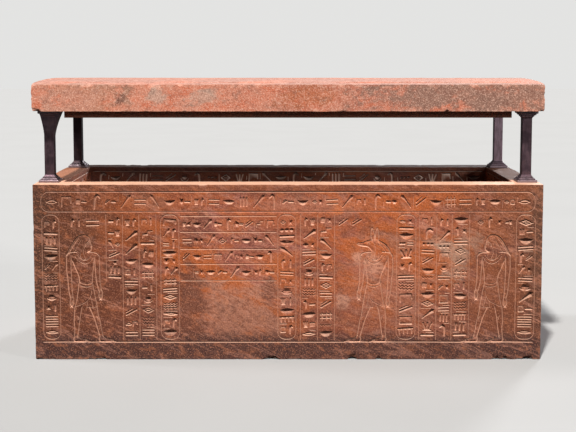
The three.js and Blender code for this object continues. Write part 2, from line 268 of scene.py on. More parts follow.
INNER_BAND = "hook bowl wedge posts bars slant disc hook_back dots lozenge sprout gate wedge_back dish "
END_INNER_BAND = "hook bowl wedge posts bars slant disc lozenge"
LID_BAND = (
    "leaf bars hook wedge bowl posts disc slant bars lozenge hook_back dish wedge_back sprout bowl zigzag "
    "gate "
)

# ---- Broken places: x along the chest, then the break's half sizes and how deep it goes

FOOT_CHIPS = [
    (292, (26, 12, 11), 7),
    (1050, (34, 14, 13), 9),
    (1412, (22, 20, 24), 13),
    (1530, (16, 10, 10), 6),
    (2050, (18, 16, 15), 8),
    (2195, (24, 12, 12), 8),
]
LID_CHIPS = [
    (240, (24, 14, 13), 8),
    (655, (14, 9, 9), 5),
    (2075, (18, 10, 9), 6),
]
SMALL_CHIPS = 95  # scattered along the chest's arrises
LID_SMALL_CHIPS = 110
CHEST_ARRIS = (1.6, 5.5)  # least and greatest radius of its worn arrises
LID_ARRIS = (2.5, 7)
CHEST_UNEVEN = 1.4  # about how deep the low places in its faces are
LID_UNEVEN = 3.2
CHEST_EDGE = 14  # width of the paler stone along its arrises
LID_EDGE_PALE = 16
LID_CORNERS = [
    ((-1, -1, -1), (46, 34, 15), 9),
    ((1, -1, -1), (20, 18, 9), 4),
    ((-1, -1, 1), (26, 22, 9), 4.5),
    ((1, -1, 1), (18, 18, 8), 3.5),
    ((1, 1, 1), (44, 30, 16), 10),
    ((-1, 1, -1), (30, 26, 14), 8),
]


# ---- Strokes
# A stroke is an array of rows: u, v, depth, width to its left, width to its right, paleness. Its ends taper.


def smooth(points, spacing=SAMPLE):
    """A Catmull-Rom curve through the points, sampled about every `spacing`. All columns are interpolated."""
    p = np.asarray(points, float)
    if len(p) < 3:
        return p
    ring = np.allclose(p[0, :2], p[-1, :2])
    before = p[-2] if ring else 2 * p[0] - p[1]
    after = p[1] if ring else 2 * p[-1] - p[-2]
    q = np.vstack([before, p, after])
    rows = []
    for a, b, c, d in zip(q, q[1:], q[2:], q[3:]):
        count = max(1, int(round(np.linalg.norm((c - b)[:2]) / spacing)))
        for t in np.arange(count) / count:
            square = (2 * a - 5 * b + 4 * c - d) * t**2
            cube = (3 * b - a - 3 * c + d) * t**3
            rows.append(0.5 * (2 * b + (c - a) * t + square + cube))
    rows.append(p[-1])
    return np.array(rows)


def tapered(rows):
    """Adds a point of no depth beyond each end."""
    ends = []
    for end, inner in ((rows[0], rows[1]), (rows[-1], rows[-2])):
        out = (end - inner)[:2]
        tip = end.copy()
        tip[:2] += out / np.linalg.norm(out) * max(end[3], end[4])
        tip[2:] = 0
        ends.append(tip)
    return np.vstack([ends[0], rows, ends[1]])


def stroke(points, depth=LINE_DEPTH, left=LINE_HALF, right=LINE_HALF, pale=LINE_PALE):
    xy = np.asarray(points, float)
    widths = np.tile([depth, left, right, pale], (len(xy), 1))
    return tapered(smooth(np.hstack([xy, widths])))


def line(u0, v0, u1, v1):
    return stroke([(u0, v0), (u1, v1)])


def fine(u0, v0, u1, v1):
    """A shallow scratch of a line."""
    return stroke([(u0, v0), (u1, v1)], *SHALLOW["thin"])


def ring(left, right, foot, head, inset=0):
    """An oval frame, as two straight sides with half-round or rounded ends, cut in one stroke."""
    left, right, foot, head = left + inset, right - inset, foot + inset, head - inset
    r = RING_RADIUS - inset
    corners = [(right - r, head - r), (left + r, head - r), (left + r, foot + r), (right - r, foot + r)]
    rows = []
    for k, (cu, cv) in enumerate(corners):
        rows += [(u, v) for u, v, _ in arc(cu, cv, r, 90 * k, 90 * k + 90, [1] * 6)]
    rows = np.array(closed(rows))
    return np.hstack([rows, np.tile([LINE_DEPTH, LINE_HALF, LINE_HALF, LINE_PALE], (len(rows), 1))])


def sign(name, cu, cv, width, height, chance):
    """The strokes of one sign. No two are quite the same."""
    share, strokes = SIGNS[name]
    height = min(height, width * max(share, 0.55) * 1.15)
    width = width * chance.uniform(0.86, 1.0)
    turn = math.radians(chance.uniform(-4, 4))
    grow = np.clip(width, 48, 68) / 56
    made = []
    for points in strokes:
        p = np.array(points, float)
        u, v = p[:, 0] * width, p[:, 1] * height
        rows = np.empty((len(p), 6))
        rows[:, 0] = cu + u * math.cos(turn) - v * math.sin(turn)
        rows[:, 1] = cv + u * math.sin(turn) + v * math.cos(turn)
        half = SIGN_HALF * np.maximum(p[:, 2] * grow, 0.85)
        rows[:, 2] = np.minimum(half * SIGN_STEEP, MOST_DEPTH)
        rows[:, 3] = rows[:, 4] = half
        across, up = np.abs(np.gradient(rows[:, :2], axis=0)).T
        # Upright strokes take painted light: the more upright, the paler.
        rows[:, 5] = SIGN_PALE + (UPRIGHT_PALE_AND_LIGHT - SIGN_PALE) * up / (across + up)
        made.append(tapered(rows if name in STRAIGHT else smooth(rows, 6)))
    return made


def signs_side_by_side(names, cu, cv, width, height, chance):
    names = names.split("+")
    each = width / len(names)
    made = []
    for k, name in enumerate(names):
        centre = cu - width / 2 + each * (k + 0.5)
        made += sign(name, centre, cv, each * (1.0 if len(names) == 1 else PAIR_FILL), height, chance)
    return made


def tallest(names):
    return max(SIGNS[name][0] for name in names.split("+"))


def column(words, left, right, foot, head, chance):
    """Signs from the top down, each with its share of the height."""
    words = words.split()
    pitch = (head - foot) / sum(tallest(w) for w in words)
    made, top = [], head
    for word in words:
        share = tallest(word) * pitch
        middle = (left + right) / 2
        wide, tall = (right - left) * COLUMN_FILL, share * COLUMN_FILL
        made += signs_side_by_side(word, middle, top - share / 2, wide, tall, chance)
        if top < head and chance.random() < FINE_SHARE:
            reach = (right - left) * chance.uniform(0.12, 0.3)
            u = middle + chance.choice((-1, 1)) * ((right - left) * 0.38 - reach)
            made.append(fine(u - reach, top + chance.uniform(-1, 1), u + reach, top + chance.uniform(-1, 1)))
        top -= share
    return made


def row(words, left, right, foot, head, chance):
    """Signs from left to right at an even pitch, with a fine upright between some of them."""
    words = words.split()
    pitch = (right - left) / len(words)
    made = []
    for k, word in enumerate(words):
        middle = left + pitch * (k + 0.5)
        made += signs_side_by_side(word, middle, (foot + head) / 2, pitch * 0.8, (head - foot) * 0.76, chance)
        if 0 < k and chance.random() < FINE_SHARE:
            u = left + pitch * k + chance.uniform(-1.5, 1.5)
            low, high = sorted(chance.uniform(0.16, 0.84) for _ in range(2))
            high = min(0.86, max(high, low + 0.3))
            lean = chance.uniform(-2, 2)
            made.append(fine(u, foot + low * (head - foot), u + lean, foot + high * (head - foot)))
    return made


# ---- The standing figure
# x in squares forward of the neck, y in squares above the sole. Each stroke says on which side of it the body
# lies, going along its points: left, right, or neither for a thin or soft line.


def limb(middle):
    back = [(x - half, y) for x, y, half in middle]
    front = [(x + half, y) for x, y, half in middle]
    return [("left", back), ("right", front)]


def foot(heel):
    strokes = [
        ("left", [(0.02, 1.0), (-0.08, 0.45), (0.1, 0.04), (1.2, 0.02), (2.5, 0.04)]),
        ("left", [(2.5, 0.04), (2.35, 0.3), (1.7, 0.5), (1.0, 0.7), (0.62, 1.05)]),
        ("thin", [(2.05, 0.1), (1.95, 0.34)]),
    ]
    return [(side, [(heel + x, y) for x, y in points]) for side, points in strokes]


def hand(x, y):
    """A hanging hand: its outline and two lines between the fingers."""
    strokes = [
        ("left", [(-0.2, 0), (-0.36, -0.5), (-0.3, -1.2), (-0.05, -1.45)]),
        ("left", [(-0.05, -1.45), (0.22, -1.2), (0.3, -0.6), (0.24, 0)]),
        ("thin", [(-0.08, -0.7), (-0.08, -1.3)]),
        ("thin", [(0.1, -0.65), (0.08, -1.2)]),
        ("thin", [(-0.26, 0.12), (0.28, 0.12)]),
    ]
    return [(side, [(x + dx, y + dy) for dx, dy in points]) for side, points in strokes]


HUMAN_HEAD = [
    ("right", [
        (-3.05, 15.45), (-2.3, 16.8), (-1.6, 18.0), (-0.87, 18.75), (0.1, 19.0), (0.85, 18.65), (1.1, 17.95),
    ]),
    ("thin", [(1.1, 17.95), (0.75, 17.75), (0.35, 17.5), (0.18, 17.0)]),
    ("right", [
        (1.12, 17.95), (1.22, 17.4), (1.46, 16.98), (1.3, 16.86),
        (1.38, 16.68), (1.28, 16.5), (1.2, 16.2), (0.75, 16.0),
    ]),
    ("thin", [(0.18, 17.0), (-0.05, 16.3), (-0.02, 15.6), (0.3, 14.75)]),
    ("thin", [(0.3, 14.75), (-0.3, 14.6), (-0.62, 15.3), (-0.6, 15.9)]),
    ("thin", [(0.68, 17.32), (0.9, 17.4), (1.1, 17.32)]),
    ("thin", [(0.66, 17.56), (0.9, 17.64), (1.14, 17.56)]),
    ("thin", [(0.2, 17.15), (0.3, 17.4), (0.42, 17.2), (0.3, 16.95)]),
    ("thin", [(1.12, 16.72), (1.3, 16.74)]),
    ("thin", [(-0.9, 18.3), (-1.7, 17.2), (-2.5, 15.9)]),
    ("thin", [(-0.4, 18.2), (-1.1, 17.0), (-1.7, 15.95)]),
]
JACKAL_HEAD = [
    ("right", [(-2.85, 15.4), (-2.3, 16.6), (-1.6, 17.4), (-0.55, 18.0)]),
    ("right", [(-0.55, 18.0), (-0.62, 19.1), (-0.3, 20.25), (-0.05, 19.2), (0.05, 18.25)]),
    ("right", [(0.05, 18.25), (0.2, 19.3), (0.6, 20.25), (0.8, 19.1), (0.62, 18.1)]),
    ("right", [(0.62, 18.1), (1.3, 17.95), (2.2, 17.62), (3.05, 17.42)]),
    ("right", [(3.05, 17.42), (3.12, 17.27), (2.95, 17.16), (2.0, 17.02), (1.2, 16.85), (0.7, 16.3)]),
    ("thin", [(2.1, 17.26), (2.5, 17.27), (2.95, 17.3)]),
    ("thin", [(0.95, 17.55), (1.2, 17.66), (1.45, 17.55)]),
    ("thin", [(0.25, 17.6), (-0.05, 16.5), (0.3, 14.75)]),
    ("thin", [(0.3, 14.75), (-0.3, 14.6), (-0.62, 15.3), (-0.6, 15.9)]),
    ("thin", [(-0.5, 17.7), (-1.3, 16.8), (-1.9, 15.9)]),
]
BODY = [
    ("soft", [(-3.05, 15.3), (-2.6, 15.75), (-2.0, 15.92), (-1.2, 15.97)]),
    ("soft", [(0.75, 15.97), (1.7, 15.88), (2.3, 15.68), (2.72, 15.15)]),
    *limb([
        (-2.65, 15.0, 0.4), (-2.68, 13.0, 0.4), (-2.55, 11.0, 0.34), (-2.42, 9.0, 0.3), (-2.25, 7.9, 0.24),
    ]),
    *hand(-2.22, 7.8),
    *limb([(2.25, 14.9, 0.44), (2.32, 12.8, 0.38), (2.42, 10.8, 0.32), (2.72, 9.2, 0.26)]),
    *hand(2.85, 9.1),
    ("left", [(-2.02, 14.3), (-1.5, 13.0), (-1.0, 11.8), (-0.82, 10.6)]),
    ("right", [(1.68, 14.3), (1.62, 13.2), (1.45, 12.0), (1.38, 10.6)]),
    ("thin", [(-1.6, 15.3), (-0.9, 14.4), (0.2, 13.9), (1.1, 14.3), (1.7, 15.2)]),
    ("thin", [(-1.2, 15.5), (-0.7, 14.9), (0.1, 14.5), (0.9, 14.85), (1.3, 15.5)]),
    ("thin", [(-0.95, 10.6), (0.2, 10.28), (1.42, 10.45)]),
    ("thin", [(-1.0, 10.15), (0.2, 9.8), (1.5, 10.0)]),
    ("left", [(-0.98, 10.5), (-1.15, 9.0), (-1.42, 7.4), (-1.75, 6.2)]),
    ("right", [(1.44, 10.3), (1.68, 9.0), (1.95, 7.6), (2.18, 6.25)]),
    ("thin", [(-1.75, 6.2), (-0.6, 6.7), (0.45, 7.3), (1.05, 8.2), (1.25, 9.2)]),
    ("thin", [(0.35, 6.2), (1.2, 6.12), (2.18, 6.25)]),
    ("thin", [(0.35, 6.2), (0.5, 6.8), (0.45, 7.3)]),
    ("thin", [(1.05, 8.2), (1.3, 7.2), (1.45, 6.3)]),
    *limb([(-1.12, 6.2, 0.64), (-1.3, 4.9, 0.55), (-1.42, 3.8, 0.5), (-1.46, 2.4, 0.36), (-1.62, 1.0, 0.3)]),
    *limb([(1.5, 6.1, 0.66), (1.85, 4.9, 0.5), (2.2, 3.8, 0.44), (2.52, 2.4, 0.34), (2.86, 1.0, 0.3)]),
    ("thin", [(-1.35, 4.7), (-1.1, 4.35), (-1.2, 4.0)]),
    ("thin", [(2.0, 4.6), (2.3, 4.3), (2.25, 3.95)]),
    *foot(-1.95),
    *foot(2.52),
]


def figure(axis, facing, jackal):
    made = []
    for side, points in (JACKAL_HEAD if jackal else HUMAN_HEAD) + BODY:
        xy = [(axis + facing * x * SQUARE, BASE_LINE + y * SQUARE) for x, y in points]
        if side in SHALLOW:
            made.append(stroke(xy, *SHALLOW[side]))
            continue
        body_left = (side == "left") == (facing > 0)
        widths = (BODY_SLOPE, OUTLINE_HALF) if body_left else (OUTLINE_HALF, BODY_SLOPE)
        made.append(stroke(xy, OUTLINE_DEPTH, *widths, FIGURE_PALE))
    return made


# ---- Layouts


def ruled_side(length, margin, panels, band, seed):
    """All the strokes of one carved side."""
    chance = random.Random(seed)
    made = [line(margin, BASE_LINE, length - margin, BASE_LINE)]
    made.append(ring(margin, length - margin, BAND_FOOT, BAND_HEAD))
    made += row(band, margin + 14, length - margin - 14, BAND_FOOT, BAND_HEAD, chance)
    left, before = margin, ""
    for kind, width, inside in panels:
        right = left + width
        if kind == "ring":
            made.append(ring(left, right, RING_FOOT, RING_HEAD, RING_INSET))
            made += column(inside, left, right, RING_FOOT + 16, RING_HEAD - 16, chance)
        if kind == "figure":
            facing, axis, jackal = inside
            made += figure(left + axis, facing, jackal)
        if kind == "rows":
            made += [line(left + 4, v, right - 4, v) for v in ROW_LINES]
            for words, head, low in zip(inside, ROW_LINES, ROW_LINES[1:]):
                made += row(words, left + 8, right - 8, low, head, chance)
        if kind.endswith("column"):
            low = SHORT_COLUMN_FOOT if kind == "short_column" else RING_FOOT
            made += column(inside, left, right, low + 8, RING_HEAD - 4, chance)
        if kind.endswith("column") or before.endswith("column"):
            low = SHORT_COLUMN_FOOT if kind == "short_column" else RING_FOOT
            made.append(line(left, low, left, RING_HEAD))
        left, before = right, kind
    return made


def over_the_figures():
    """Short lines of signs above the three figures' heads."""
    chance = random.Random(41)
    made = row("hook+post bars", 150, 300, 588, 640, chance)
    made += row("slant slant", 1340, 1460, 590, 645, chance)
    made += row("lozenge hook dot bar+sprout", 1955, 2120, 588, 645, chance)
    return made


def width_of(panels):
    return sum(width for _, width, _ in panels)


# ---- Patches: flat sides of the stone


class Patch:
    """A flat rectangle of the stone. Its outward normal is u x v."""

    def __init__(self, origin, u, v, size, grid, strokes=(), steps=(6, 6, 6, 6), hole=None):
        self.origin, self.u, self.v, self.size = np.array(origin, float), u, v, size
        self.grid, self.strokes, self.steps, self.hole = grid, list(strokes), steps, hole
        self.normal = np.cross(u, v)

    def place(self, points):
        return self.origin + points[:, :1] * self.u + points[:, 1:2] * self.v


def ticks(length, step):
    return np.linspace(0, length, max(2, int(round(length / step)) + 1))


def rectangle(lo, hi, steps):
    """Points round a rectangle, anticlockwise from its lowest corner, with a step for each side."""
    (u0, v0), (u1, v1) = lo, hi
    corners = np.array(closed([(u0, v0), (u1, v0), (u1, v1), (u0, v1)]), float)
    sides = []
    for a, b, step in zip(corners, corners[1:], steps):
        length = np.linalg.norm(b - a)
        sides.append(a + (b - a) * (ticks(length, step)[:-1] / length)[:, None])
    return np.vstack(sides)


EDGE_ROWS = (2, 4.5, 8)  # rows of points beside an arris, which let it be rounded


def carve(points, strokes):
    """The carving's depth at each point, how pale the cut is, and the distance outside all strokes."""
    depth, cut = np.zeros(len(points)), np.zeros(len(points))
    clear = np.full(len(points), 1e3)
    for rows in strokes:
        reach = rows[:, 3:].max() + 8
        lo, hi = rows[:, :2].min(0) - reach, rows[:, :2].max(0) + reach
        near = np.flatnonzero(((points > lo) & (points < hi)).all(1))
        if not len(near):
            continue
        p = points[near]
        for a, b in zip(rows, rows[1:]):
            along = b[:2] - a[:2]
            t = np.clip((p - a[:2]) @ along / max(along @ along, 1e-12), 0, 1)[:, None]
            at = a + (b - a) * t
            off = p - at[:, :2]
            distance = np.hypot(off[:, 0], off[:, 1])
            is_left = along[0] * off[:, 1] - along[1] * off[:, 0] > 0
            half = np.maximum(np.where(is_left, at[:, 3], at[:, 4]), 1e-6)
            share = np.clip(1 - distance / half, 0, 1)
            depth[near] = np.maximum(depth[near], at[:, 2] * share)
            narrow = np.minimum(half, BRINK)
            cut[near] = np.maximum(cut[near], np.clip(1 - distance / narrow, 0, 1) * at[:, 5])
            clear[near] = np.minimum(clear[near], distance - half)
    return depth, cut, clear


def outline(rows):
    """A stroke's middle, its two edges, and the brink inside an edge that slopes gently, with shared ends."""
    along = np.gradient(rows[:, :2], axis=0)
    across = np.stack([-along[:, 1], along[:, 0]], 1) / np.maximum(np.hypot(*along.T), 1e-9)[:, None]
    middle = rows[:, :2]
    made = [middle, middle + across * rows[:, 3:4], middle - across * rows[:, 4:5]]
    for side, width in ((1, rows[:, 3:4]), (-1, rows[:, 4:5])):
        if width.max() > 2 * BRINK and np.ptp(rows[1:-1, 2]) < 1e-6:
            made.append(middle + side * across * np.minimum(width, BRINK))
    return made


def grid_points(patch, chance):
    """Scattered points inside the patch: finer rows beside its edges, then an uneven grid."""
    width, height = patch.size
    fitting = [d for d in EDGE_ROWS if 4 * d < min(width, height)]
    rows = [rectangle((d, d), (width - d, height - d), patch.steps) for d in fitting]
    if patch.hole is not None:
        (u0, v0), (u1, v1) = patch.hole
        rows += [rectangle((u0 - d, v0 - d), (u1 + d, v1 + d), patch.steps) for d in EDGE_ROWS]
    margin = EDGE_ROWS[-1] + patch.grid * 0.6
    u, v = np.meshgrid(ticks(width, patch.grid), ticks(height, patch.grid * 0.87))
    u[1::2] += patch.grid / 2
    field = np.stack([u.ravel(), v.ravel()], 1)
    field += chance.uniform(-0.22, 0.22, field.shape) * patch.grid
    inside = ((field > margin) & (field < np.array(patch.size) - margin)).all(1)
    if patch.hole is not None:
        lo, hi = np.array(patch.hole)
        inside &= ~((field > lo - margin) & (field < hi + margin)).all(1)
    return np.vstack([*rows, field[inside]])


def triangulate(patch, chance):
    """The patch's points, the depth and the cut at each, and its triangles."""
    points, edges = [], []

    def chain(new, ring_shut):
        first = sum(map(len, points))
        points.append(new)
        edges.extend((first + k, first + k + 1) for k in range(len(new) - 1))
        if ring_shut:
            edges.append((first + len(new) - 1, first))

    chain(rectangle((0, 0), patch.size, patch.steps), True)
    if patch.hole is not None:
        chain(rectangle(*patch.hole, patch.steps), True)
    for rows in patch.strokes:
        for side in outline(rows):
            chain(side, False)
    field = grid_points(patch, chance)
    field = field[carve(field, patch.strokes)[2] > CLEAR]
    points.append(field)
    flat = np.vstack(points)
    made, _, faces, *_ = delaunay_2d_cdt([Vector(p) for p in flat.tolist()], edges, [], 0, 0.02, False)
    made = np.array([tuple(p) for p in made])
    faces = np.array([f[:] for f in faces])
    if patch.hole is not None:
        lo, hi = np.array(patch.hole)
        middle = made[faces].mean(1)
        faces = faces[~((middle > lo) & (middle < hi)).all(1)]
    return made, carve(made, patch.strokes)[:2], faces


# ---- Wear


def noise(points, scale, seed):
    """Smooth noise from 0 to 1, with features about `scale` millimetres across."""
    p = points / scale + seed * 17.31
    cell = np.floor(p).astype(np.int64)
    f = p - cell
    f = f * f * (3 - 2 * f)
    total = np.zeros(len(p))
    for corner in itertools.product((0, 1), repeat=3):
        c = (cell + corner) * np.array([73856093, 19349663, 83492791])
        mixed = c[:, 0] ^ c[:, 1] ^ c[:, 2] ^ (seed * 7919)
        mixed = (mixed ^ (mixed >> 13)) * 1274126177
        mixed = (mixed ^ (mixed >> 16)) & 0xFFFF
        total += np.prod(np.where(corner, f, 1 - f), axis=1) * mixed / 65535
    return total


def rounded(p, lo, hi, radius):
    """Rounds all the arrises and corners of a block."""
    r = radius[:, None]
    inner = np.clip(p, lo + r, hi - r)
    off = p - inner
    length = np.linalg.norm(off, axis=1, keepdims=True)
    return inner + off * np.where(length > r, r / np.maximum(length, 1e-9), 1)


def rounded_mouth(p, half, top, radius):
    """Rounds the inner arris of the rim, round a hollow with the given half sizes."""
    past = np.abs(p[:, :2]) - half
    axis = past.argmax(1)
    out = past.max(1)
    below = top - p[:, 2]
    near = (out > -0.01) & (out < radius) & (below < radius)
    a, b = radius - below, radius - out
    length = np.maximum(np.hypot(a, b), 1e-9)
    shrink = np.where(near & (length > radius), radius / length, 1)
    made = p.copy()
    made[:, 2] = np.where(near, top - (radius - a * shrink), p[:, 2])
    pick = np.arange(len(p))
    moved = (radius - b * shrink) - out
    made[pick, axis] += np.where(near, np.sign(p[pick, axis]) * moved, 0)
    return made


def uneven(p, lo, hi, amount, seed):
    """Sinks each outer face by about `amount`, in long low waves and smaller ones, but not under a post."""
    wave = noise(p, 260, seed) * 0.6 + noise(p, 70, seed + 1) * 0.3 + noise(p, 24, seed + 2) * 0.35
    sink = np.repeat((amount * wave)[:, None], 3, axis=1)
    for x, y in POST_PLACES:
        away = np.maximum(np.abs(p[:, 0] - x), np.abs(p[:, 1] - y))
        sink[:, 2] *= np.clip((away - PLINTH / 2 - 4) / 25, 0, 1)
    made = p.copy()
    made += np.where(np.abs(p - lo) < 1e-3, sink, 0)
    made -= np.where(np.abs(p - hi) < 1e-3, sink, 0)
    return made


def broken(p, chips):
    """Scoops out each chip. Returns the points and how broken the stone is at each."""
    made, mark = p.copy(), np.zeros(len(p))
    rough = noise(p, 11, 5)
    for centre, radii, inward, deep in chips:
        rho = (((p - centre) / radii) ** 2).sum(1)
        share = np.sqrt(np.clip(1 - rho, 0, None)) * (0.6 + 0.7 * rough)
        made += (share * deep)[:, None] * inward
        mark = np.maximum(mark, np.clip(share * 1.6, 0, 1))
    return made, mark


def arris_chip(lo, hi, place, sides, radii, deep):
    """A chip on an arris. `place` is a point, and `sides` is -1 or 1 on each axis whose face it breaks."""
    centre = np.array(place, float)
    inward = -np.array(sides, float)
    for axis in range(3):
        if sides[axis]:
            centre[axis] = hi[axis] if sides[axis] > 0 else lo[axis]
    return centre, np.array(radii, float), inward / np.linalg.norm(inward), deep


def scattered_chips(lo, hi, count, seed):
    chance = random.Random(seed)
    made = []
    for _ in range(count):
        free = chance.choice((0, 0, 0, 0, 1, 1, 2))
        sides = [chance.choice((-1, 1)) for _ in range(3)]
        sides[free] = 0
        place = [chance.uniform(lo[k] + 12, hi[k] - 12) for k in range(3)]
        size = chance.uniform(4, 10) if chance.random() < 0.85 else chance.uniform(10, 19)
        radii = [size, size, size]
        radii[free] *= chance.uniform(1.0, 2.4)
        made.append(arris_chip(lo, hi, place, sides, radii, size * chance.uniform(0.2, 0.36)))
    return made


# ---- From patches to a mesh


def gather(patches, seed):
    """Joins the patches. Returns points, the carving's depth, cut and direction, and the triangles."""
    chance = np.random.default_rng(seed)
    points, carved, normals, faces, count = [], [], [], [], 0
    for patch in patches:
        flat, marks, triangles = triangulate(patch, chance)
        points.append(patch.place(flat))
        carved.append(np.stack(marks, 1))
        normals.append(np.tile(patch.normal, (len(flat), 1)))
        faces.append(triangles + count)
        count += len(flat)
    points, carved, normals = np.vstack(points), np.vstack(carved), np.vstack(normals)
    key = np.round(points * 20 + 0.237).astype(np.int64)
    _, first, back = np.unique(key, axis=0, return_index=True, return_inverse=True)
    faces = back.reshape(-1)[np.vstack(faces)]
    whole = (faces[:, 0] != faces[:, 1]) & (faces[:, 1] != faces[:, 2]) & (faces[:, 2] != faces[:, 0])
    return points[first], carved[first], normals[first], faces[whole]


def placed(name, data):
    made = bpy.data.objects.new(name, data)
    bpy.context.scene.collection.objects.link(made)
    return made


def stone_mesh(name, points, faces, attributes):
    mesh = bpy.data.meshes.new(name)
    mesh.from_pydata((points * MM).tolist(), [], faces.tolist())
    mesh.polygons.foreach_set("use_smooth", [True] * len(faces))
    mesh.set_sharp_from_angle(angle=math.radians(32))
    for title, values in attributes.items():
        layer = mesh.attributes.new(title, "FLOAT", "POINT")
        layer.data.foreach_set("value", values.astype(np.float32))
    return placed(name, mesh)


def arris_radius(p, seed, least, most):
    bite = noise(p, 60, seed) * 0.5 + noise(p, 17, seed + 1) * 0.5
    return least + (most - least) * np.clip(bite * 2 - 0.55, 0, 1)


# ---- The chest


def inner_strokes(width, height, words, repeats, seed):
    """The strip of signs round the top of the hollow, between two ruled lines."""
    chance = random.Random(seed)
    head = height - 22
    low = head - 66
    made = [line(20, head, width - 20, head), line(20, low, width - 20, low)]
    return made + row(words * repeats, 26, width - 26, low, head, chance)


def chest_patches():
    half_x, half_y = LENGTH / 2, WIDTH / 2
    in_x, in_y = half_x - END_WALL, half_y - LONG_WALL
    deep = CHEST_HEIGHT - FLOOR
    back_margin = (LENGTH - width_of(BACK_PANELS)) / 2
    end_margin = (WIDTH - width_of(END_PANELS)) / 2
    front = ruled_side(LENGTH, LEFT_MARGIN, FRONT_PANELS, FRONT_BAND, 11) + over_the_figures()
    back = ruled_side(LENGTH, back_margin, BACK_PANELS, BACK_BAND, 12)
    side = (LENGTH, CHEST_HEIGHT)
    end = (WIDTH, CHEST_HEIGHT)
    long_inside, end_inside = (2 * in_x, deep), (2 * in_y, deep)
    long_strokes = [inner_strokes(*long_inside, INNER_BAND, 2, seed) for seed in (21, 22)]
    mouth = ((END_WALL, LONG_WALL), (LENGTH - END_WALL, WIDTH - LONG_WALL))
    wall_steps = (20, 20, 6, 20)
    floor_steps = (20, 20, 20, 20)
    patches = [
        Patch((-half_x, -half_y, 0), X, Z, side, 9.5, front),
        Patch((half_x, half_y, 0), -X, Z, side, 19, back),
        Patch((-half_x, -half_y, CHEST_HEIGHT), X, Y, (LENGTH, WIDTH), 15, hole=mouth),
        Patch((-half_x, half_y, 0), X, -Y, (LENGTH, WIDTH), 60),
        *(
            Patch((s * in_x, -s * in_y, FLOOR), -s * X, Z, long_inside, 30, inner, wall_steps)
            for s, inner in zip((1, -1), long_strokes)
        ),
        Patch((-in_x, -in_y, FLOOR), X, Y, (2 * in_x, 2 * in_y), 40, steps=floor_steps),
    ]
    for sign_x, seed in ((1, 13), (-1, 14)):
        strokes = ruled_side(WIDTH, end_margin, END_PANELS, END_BAND, seed)
        patches.append(Patch((sign_x * half_x, -sign_x * half_y, 0), sign_x * Y, Z, end, 15, strokes))
        inner = inner_strokes(*end_inside, END_INNER_BAND, 1, seed + 10)
        corner = (-sign_x * in_x, -sign_x * in_y, FLOOR)
        patches.append(Patch(corner, sign_x * Y, Z, end_inside, 30, inner, wall_steps))
    return patches


def chest():
    points, carved, normal, faces = gather(chest_patches(), 3)
    depth, cut = carved.T
    lo, hi = CHEST_LO, CHEST_HI
    chips = scattered_chips(lo, hi, SMALL_CHIPS, 7)
    for along, radii, deep in FOOT_CHIPS:
        chips.append(arris_chip(lo, hi, (lo[0] + along, 0, 0), (0, -1, -1), radii, deep))
    radius = arris_radius(points, 31, *CHEST_ARRIS)
    half_mouth = np.array([LENGTH / 2 - END_WALL, WIDTH / 2 - LONG_WALL])
    worn = uneven(points, lo, hi, CHEST_UNEVEN, 51)
    worn = rounded(worn, lo, hi, radius)
    worn = rounded_mouth(worn, half_mouth, CHEST_HEIGHT, radius)
    worn, mark = broken(worn, chips)
    fade = 0.72 + 0.28 * np.clip(noise(points, 120, 61) * 2.2 - 0.3, 0, 1)
    worn -= normal * (depth * fade)[:, None]
    inner = (np.abs(points[:, :2]) < half_mouth + 1).all(1) & (points[:, 2] < CHEST_HEIGHT - 1)
    # Inside the hollow the cuts are painted far paler: painted light on marks in a shaded wall.
    cut = np.where(inner, np.clip(cut * 9, 0, 1), cut * fade)
    long_wall = inner & (np.abs(points[:, 0]) < half_mouth[0] - 1)
    to_edge = np.sort(np.minimum(points - lo, hi - points), axis=1)[:, 1]
    edge = np.clip(1 - to_edge / CHEST_EDGE, 0, 1)
    marks = {"cut": cut, "edge": edge, "broken": mark, "inner": long_wall}
    made = stone_mesh("chest_stonework", worn, faces, marks)
    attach(made, "root")
    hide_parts("chest")
    return made


# ---- The lid


def lid_patches():
    half_x, half_y = LENGTH / 2, WIDTH / 2
    underside = LID_LO[2] + TONGUE
    arris = underside + LID_EDGE
    t_x, t_y = half_x - END_WALL - TONGUE_PLAY, half_y - LONG_WALL - TONGUE_PLAY
    hole = ((half_x - t_x, half_y - t_y), (half_x + t_x, half_y + t_y))
    chance = random.Random(71)
    tall = (BAND_HEAD - BAND_FOOT) / 2
    ends = (LID_MARGIN, LENGTH - LID_MARGIN)
    top = [line(ends[0], v, ends[1], v) for v in (LID_MARGIN, WIDTH - LID_MARGIN)]
    top.append(ring(*ends, half_y - tall, half_y + tall))
    top += row(LID_BAND * 2, ends[0] + 14, ends[1] - 14, half_y - tall, half_y + tall, chance)
    patches = [
        Patch((-half_x, -half_y, arris), X, Y, (LENGTH, WIDTH), 12, top),
        Patch((-half_x, half_y, underside), X, -Y, (LENGTH, WIDTH), 34, steps=(6, 6, 6, 6), hole=hole),
        Patch((-t_x, t_y, LID_LO[2]), X, -Y, (2 * t_x, 2 * t_y), 34, steps=(6, 6, 6, 6)),
    ]
    for s in (1, -1):
        patches.append(Patch((-s * half_x, -s * half_y, underside), s * X, Z, (LENGTH, LID_EDGE), 7.5))
        patches.append(Patch((s * half_x, -s * half_y, underside), s * Y, Z, (WIDTH, LID_EDGE), 7.5))
        patches.append(Patch((-s * t_x, -s * t_y, LID_LO[2]), s * X, Z, (2 * t_x, TONGUE), 14))
        patches.append(Patch((s * t_x, -s * t_y, LID_LO[2]), s * Y, Z, (2 * t_y, TONGUE), 14))
    return patches


